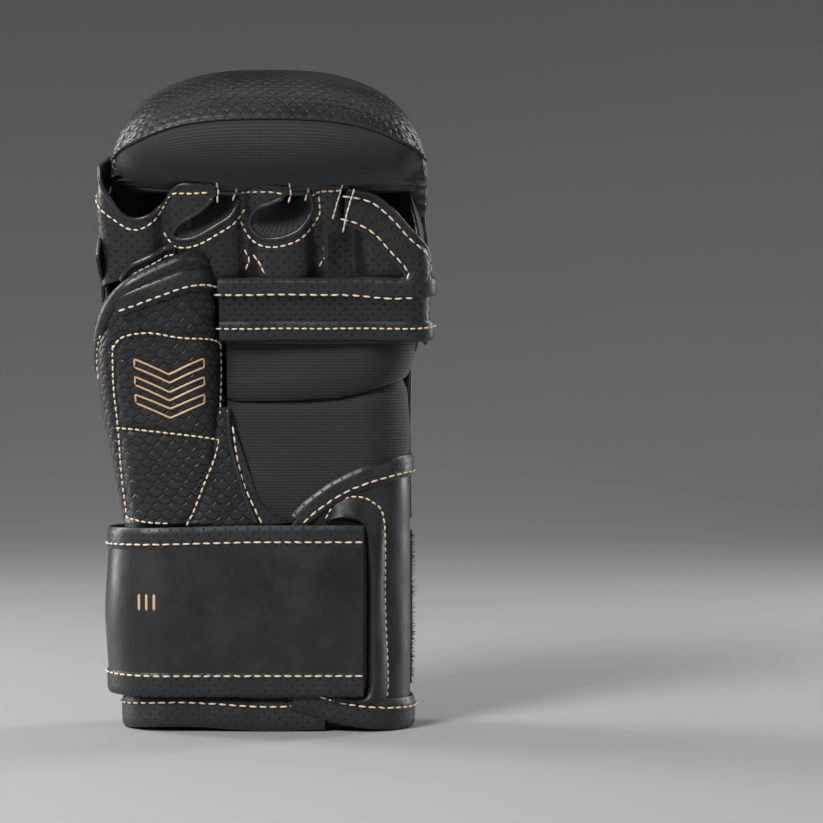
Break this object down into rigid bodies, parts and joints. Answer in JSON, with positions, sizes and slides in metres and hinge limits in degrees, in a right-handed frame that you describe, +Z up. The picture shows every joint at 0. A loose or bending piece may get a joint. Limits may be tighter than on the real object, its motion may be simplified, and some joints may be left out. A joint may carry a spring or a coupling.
{
  "type": "mma glove",
  "caption": "Padded left-hand sparring glove with open palm, separate thumb, finger loops and a wrap-round wrist strap.",
  "frame": {"origin": "under the middle of the glove's box, on the surface that the cuff stands on", "axes": "+Z up from the cuff to the fingertips, -Y the palm side, -X the thumb side of this left-hand glove"},
  "size_m": [0.1346, 0.1248, 0.2645],
  "materials": {
    "smooth_leather": "smooth satin",
    "scale_leather": "embossed scales, satin",
    "perforated_leather": "perforated, satin",
    "mesh_fabric": "ribbed stretch knit",
    "lining": "brushed lining",
    "foam": "soft closed-cell foam",
    "loop_fabric": "fuzzy loop pile",
    "hook_tape": "moulded hooks"
  },
  "bodies": {
    "hand": {"cuff_back": "smooth_leather", "cuff_flap_thumb_side": "smooth_leather", "cuff_flap_outer_side": "smooth_leather", "cuff_foam": "foam", "cuff_lining": "lining", "cuff_hem_thumb_side": "perforated_leather", "cuff_hem_outer_side": "perforated_leather", "flap_top_binding": "perforated_leather", "palm_notch_binding": "perforated_leather", "strap_slot_frame": "smooth_leather", "loop_patch": "loop_fabric", "palm_mesh_lower": "mesh_fabric", "palm_mesh_upper": "mesh_fabric", "hand_back_leather": "scale_leather", "hand_back_foam": "foam", "hand_back_lining": "lining", "thumb_root_leather": "scale_leather", "thumb_root_foam": "foam"},
    "thumb": {"thumb_stall": "scale_leather", "thumb_lining": "lining", "thumb_patch": "scale_leather", "thumb_patch_foam": "foam", "thumb_mouth_binding": "perforated_leather"},
    "fingers": {"knuckle_pad_skin": "scale_leather", "knuckle_pad_foam": "foam", "tip_mesh_panel": "mesh_fabric", "side_gusset_index": "perforated_leather", "side_gusset_little": "perforated_leather", "palm_band_lower": "perforated_leather", "palm_band_upper": "perforated_leather", "index_finger_loop": "perforated_leather", "middle_finger_loop": "perforated_leather", "ring_finger_loop": "perforated_leather", "little_finger_loop": "perforated_leather", "finger_divider_1": "mesh_fabric", "finger_divider_2": "mesh_fabric", "finger_divider_3": "mesh_fabric"},
    "strap_palm": {"strap_palm_panel": "smooth_leather", "strap_palm_bindings": "perforated_leather"},
    "strap_side": {"strap_side_panel": "smooth_leather", "strap_side_bindings": "perforated_leather"},
    "strap_back": {"strap_back_panel": "smooth_leather", "strap_back_bindings": "perforated_leather"},
    "strap_tip": {"strap_tip_panel": "smooth_leather", "strap_tip_bindings": "perforated_leather", "hook_patch": "hook_tape"}
  },
  "joints": [
    {"name": "finger_flex", "type": "hinge", "parent": "hand", "child": "fingers", "pos_m": [0, 0.03334, 0.138], "axis": [1, 0, 0], "range_deg": [-12, 3], "stiffness_Nm_per_rad": 1},
    {"name": "thumb_swing", "type": "hinge", "parent": "hand", "child": "thumb", "pos_m": [-0.038, -0.01566, 0.118], "axis": [1, 0, 0], "range_deg": [-4, 22], "stiffness_Nm_per_rad": 0.3},
    {"name": "strap_root_lift", "type": "hinge", "parent": "hand", "child": "strap_palm", "pos_m": [0.04, -0.01766, 0.04875], "axis": [0, 0, 1], "range_deg": [0, 12.6]},
    {"name": "strap_unwrap", "type": "hinge", "parent": "strap_palm", "child": "strap_side", "pos_m": [-0.037, -0.01766, 0.04875], "axis": [0, 0, 1], "range_deg": [0, 75]},
    {"name": "strap_back_unwrap", "type": "hinge", "parent": "strap_side", "child": "strap_back", "pos_m": [-0.037, 0.03434, 0.04875], "axis": [0, 0, 1], "range_deg": [0, 75]},
    {"name": "strap_tip_peel", "type": "hinge", "parent": "strap_back", "child": "strap_tip", "pos_m": [0.006, 0.03434, 0.04875], "axis": [0, 0, 1], "range_deg": [0, 60]}
  ],
  "couplings": [
    {"joint": "strap_root_lift", "follows": "strap_unwrap", "ratio": 0.16667},
    {"joint": "strap_back_unwrap", "follows": "strap_unwrap", "ratio": 1}
  ]
}
